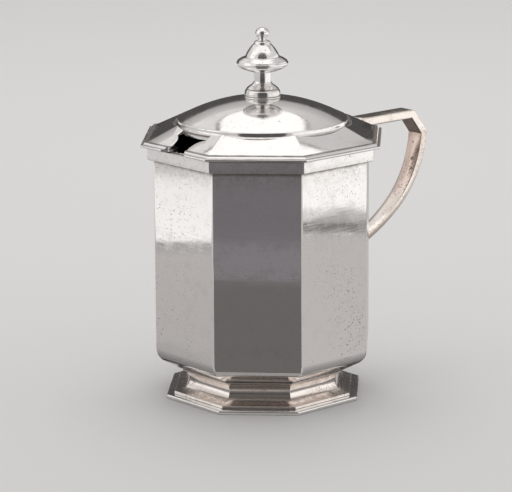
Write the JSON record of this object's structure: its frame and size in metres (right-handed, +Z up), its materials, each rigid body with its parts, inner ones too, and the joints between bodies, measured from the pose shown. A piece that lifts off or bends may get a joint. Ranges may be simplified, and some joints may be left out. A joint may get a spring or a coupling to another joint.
{
  "type": "mustard pot",
  "caption": "Eight-sided silver mustard pot with a hinged domed lid, spoon notch, turned finial, strap handle, spreading foot and glass liner.",
  "frame": {"origin": "centre of the foot's underside", "axes": "+Z up along the pot's axis, +X towards the handle, so the spoon notch is at -X and the hinge axis is along Y"},
  "size_m": [0.0874, 0.0606, 0.0952],
  "materials": {
    "silver": "worn polish",
    "worn_silver": "dull",
    "blue_glass": "clear"
  },
  "bodies": {
    "pot": {"body_shell": "silver", "rim_band": "silver", "foot": "worn_silver", "foot_rim": "silver", "handle": "silver", "pot_hinge_leaf": "worn_silver", "hinge_pin": "worn_silver", "glass_liner": "blue_glass"},
    "lid": {"lid_flange": "silver", "lid_edge": "silver", "lid_ring": "silver", "lid_dome": "silver", "lid_bezel": "worn_silver", "lid_hinge_leaf": "worn_silver", "finial": "silver", "finial_stud": "worn_silver", "finial_washer": "worn_silver", "finial_nut": "worn_silver"}
  },
  "joints": [
    {"name": "lid_hinge", "type": "hinge", "parent": "pot", "child": "lid", "pos_m": [0.0319, 0, 0.0669], "axis": [0, 1, 0], "range_deg": [0, 105]}
  ]
}
